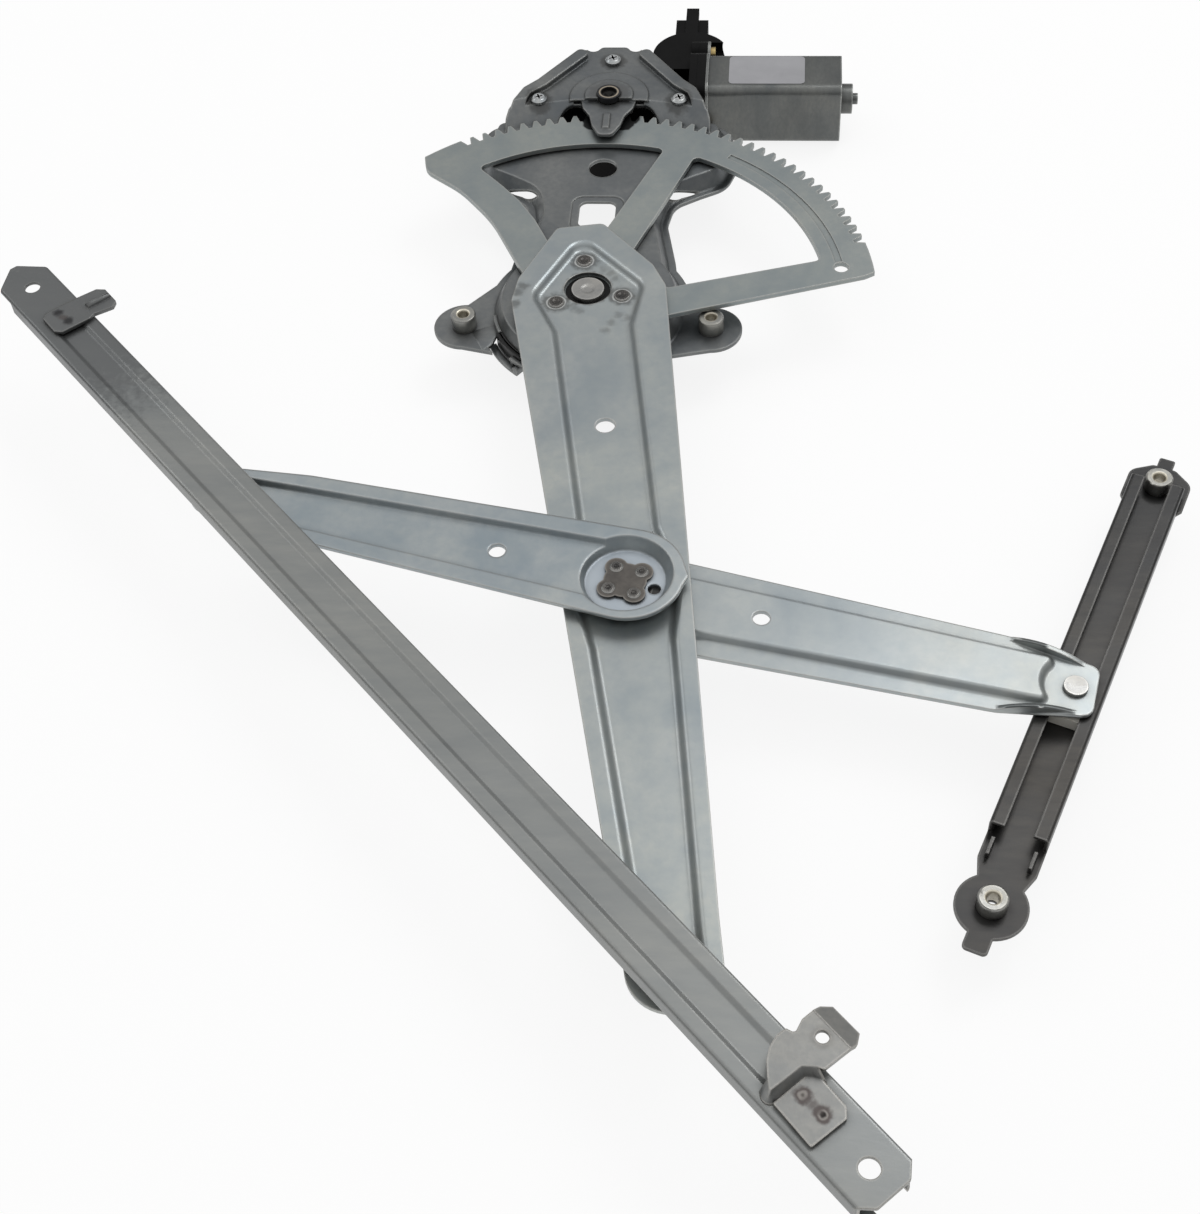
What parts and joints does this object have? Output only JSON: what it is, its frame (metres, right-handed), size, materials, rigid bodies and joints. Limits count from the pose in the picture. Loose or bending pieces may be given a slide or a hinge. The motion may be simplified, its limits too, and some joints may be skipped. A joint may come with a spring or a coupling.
{
  "type": "window regulator",
  "caption": "Power window regulator: a toothed sector and crossed pressed arms driven by a worm gear motor lift a slotted glass channel, with a short guide rail.",
  "frame": {"origin": "midway between the two weld nuts on the ears, on the rear mounting face of the base plate", "axes": "+X from the left ear nut to the right one, +Y up the base plate to the motor, +Z out of the door panel along every pivot"},
  "size_m": [0.5574, 0.706, 0.0655],
  "materials": {
    "galvanised": "grey galvanised sheet",
    "steel_nut": "plain steel, slightly yellow",
    "bronze": "sintered bronze",
    "spring_steel": "black oiled spring steel",
    "steel_rivet": "plain steel",
    "black_plastic": "matte black",
    "cover_plastic": "black",
    "rubber": "black rubber",
    "brass": "yellow passivated",
    "can_zinc": "grey zinc plate",
    "ferrite": "dark ferrite",
    "natural_plastic": "natural acetal",
    "carbon": "carbon",
    "label_white": "bare white label",
    "shaft_steel": "ground steel",
    "core_steel": "laminated steel",
    "copper": "enamelled copper",
    "zinc_bright": "bright zinc with a faint yellow tint"
  },
  "bodies": {
    "base": {"base_plate": "galvanised", "ear_nuts": "steel_nut", "pivot_bush": "bronze", "balance_spring": "spring_steel", "shaft_bush": "bronze", "motor_screws": "steel_rivet", "gear_housing": "black_plastic", "housing_cover": "cover_plastic", "cover_seal": "rubber", "worm_bearing": "bronze", "brush_housing": "black_plastic", "connector_terminals": "brass", "motor_can": "can_zinc", "end_bearing": "bronze", "magnets": "ferrite", "brush_holder": "natural_plastic", "carbon_brushes": "carbon", "can_screws": "brass", "can_label": "label_white"},
    "drive": {"worm_wheel": "natural_plastic", "drive_rubber": "rubber", "output_shaft": "shaft_steel", "pinion": "shaft_steel"},
    "armature": {"armature_shaft": "shaft_steel", "armature_core": "core_steel", "armature_windings": "copper", "commutator": "copper"},
    "lift_arm": {"sector_gear": "zinc_bright", "lift_arm": "zinc_bright", "sector_rivets": "steel_rivet", "pivot_shaft": "shaft_steel", "pivot_clip": "spring_steel", "lift_pin": "steel_rivet"},
    "equalizer": {"front_arm": "zinc_bright", "rear_arm": "zinc_bright", "hub": "steel_rivet", "hub_plate": "galvanised", "hub_rivets": "steel_rivet", "cross_washers": "natural_plastic", "front_pin": "steel_rivet", "guide_pin": "steel_rivet"},
    "lift_shoe": {"lift_shoe": "natural_plastic"},
    "front_shoe": {"front_shoe": "natural_plastic"},
    "guide_shoe": {"guide_shoe": "natural_plastic"},
    "glass_channel": {"glass_channel": "galvanised", "left_bracket": "galvanised", "right_bracket": "galvanised"},
    "guide_rail": {"guide_rail": "galvanised", "rail_nuts": "steel_nut"}
  },
  "joints": [
    {"name": "main_pivot", "type": "hinge", "parent": "base", "child": "lift_arm", "pos_m": [0, 0.013, 0.0108], "axis": [0, 0, 1], "range_deg": [-22, 62], "deforming": ["balance_spring"]},
    {"name": "cross_pivot", "type": "hinge", "parent": "lift_arm", "child": "equalizer", "pos_m": [0.03054, -0.17352, 0.016], "axis": [0, 0, 1], "range_deg": [-124, 44]},
    {"name": "lift_shoe_pivot", "type": "hinge", "parent": "lift_arm", "child": "lift_shoe", "pos_m": [0.06109, -0.36003, 0.029], "axis": [0, 0, 1], "range_deg": [-62, 22]},
    {"name": "front_shoe_pivot", "type": "hinge", "parent": "equalizer", "child": "front_shoe", "pos_m": [-0.15369, -0.13132, 0.029], "axis": [0, 0, 1], "range_deg": [-22, 62]},
    {"name": "channel_slide", "type": "slide", "parent": "lift_shoe", "child": "glass_channel", "axis": [0.6845, -0.729, 0], "range_m": [-0.064, 0.1]},
    {"name": "rail_swivel", "type": "hinge", "parent": "equalizer", "child": "guide_shoe", "pos_m": [0.21477, -0.21571, 0.002], "axis": [0, 0, 1], "range_deg": [-10, 130]},
    {"name": "rail_slide", "type": "slide", "parent": "guide_shoe", "child": "guide_rail", "axis": [-0.3649, -0.9311, 0], "range_m": [-0.06, 0.105]},
    {"name": "drive_gear", "type": "hinge", "parent": "base", "child": "drive", "pos_m": [0, 0.1615, 0], "axis": [0, 0, 1], "continuous": true},
    {"name": "armature_spin", "type": "hinge", "parent": "base", "child": "armature", "pos_m": [0, 0.1938, -0.006], "axis": [1, 0, 0], "continuous": true}
  ],
  "couplings": [
    {"joint": "cross_pivot", "follows": "main_pivot", "ratio": -2},
    {"joint": "lift_shoe_pivot", "follows": "main_pivot", "ratio": -1},
    {"joint": "front_shoe_pivot", "follows": "main_pivot", "ratio": 1},
    {"joint": "drive_gear", "follows": "main_pivot", "ratio": -13.667},
    {"joint": "armature_spin", "follows": "main_pivot", "ratio": 765.33}
  ]
}
